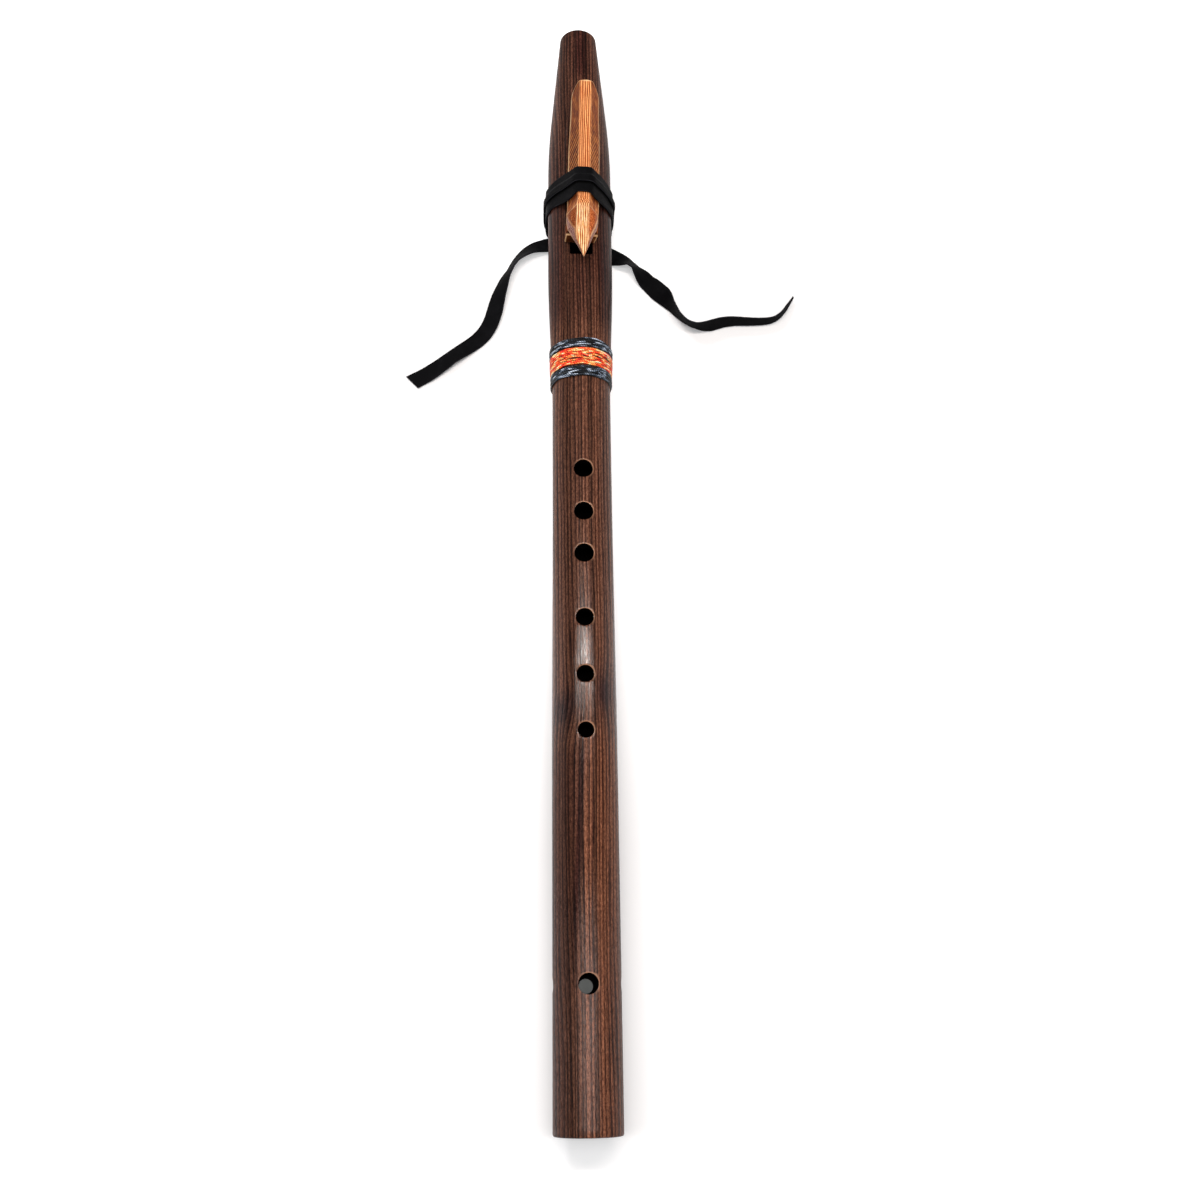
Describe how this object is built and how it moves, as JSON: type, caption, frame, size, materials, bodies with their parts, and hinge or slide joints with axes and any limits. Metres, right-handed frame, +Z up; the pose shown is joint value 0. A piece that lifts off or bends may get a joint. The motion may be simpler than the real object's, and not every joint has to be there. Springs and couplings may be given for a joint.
{
  "type": "native american flute",
  "caption": "Two-chambered wooden end-blown flute with finger holes, a carved bird block held in its nest by a tied leather thong, and a band of waxed thread.",
  "frame": {"origin": "on the table under the middle of the flute's box, as it lies on the rim of its foot and on the strap's knot", "axes": "+Y along the flute from its foot to its mouth end, +Z up through the finger holes and the block, +X to the right seen from the foot"},
  "size_m": [0.2212, 0.6092, 0.0557],
  "materials": {
    "body_wood": "satin lacquer over dark heat-treated cedar",
    "block_wood": "satin lacquer over orange-brown cedar",
    "strap_leather": "matte black buckskin",
    "dark_thread": "waxed thread",
    "orange_thread": "waxed thread"
  },
  "bodies": {
    "flute": {"body_top_half": "body_wood", "body_bottom_half": "body_wood", "strap_lower_turn": "strap_leather", "strap_upper_turn": "strap_leather", "strap_knot": "strap_leather", "strap_left_tail": "strap_leather", "strap_right_tail": "strap_leather", "winding_dark_lower": "dark_thread", "winding_orange": "orange_thread", "winding_dark_upper": "dark_thread"},
    "block": {"block": "block_wood"}
  },
  "joints": [
    {"name": "block_slide", "type": "slide", "parent": "flute", "child": "block", "axis": [0, 0.9999, 0.0138], "range_m": [-0.003, 0.002]}
  ]
}
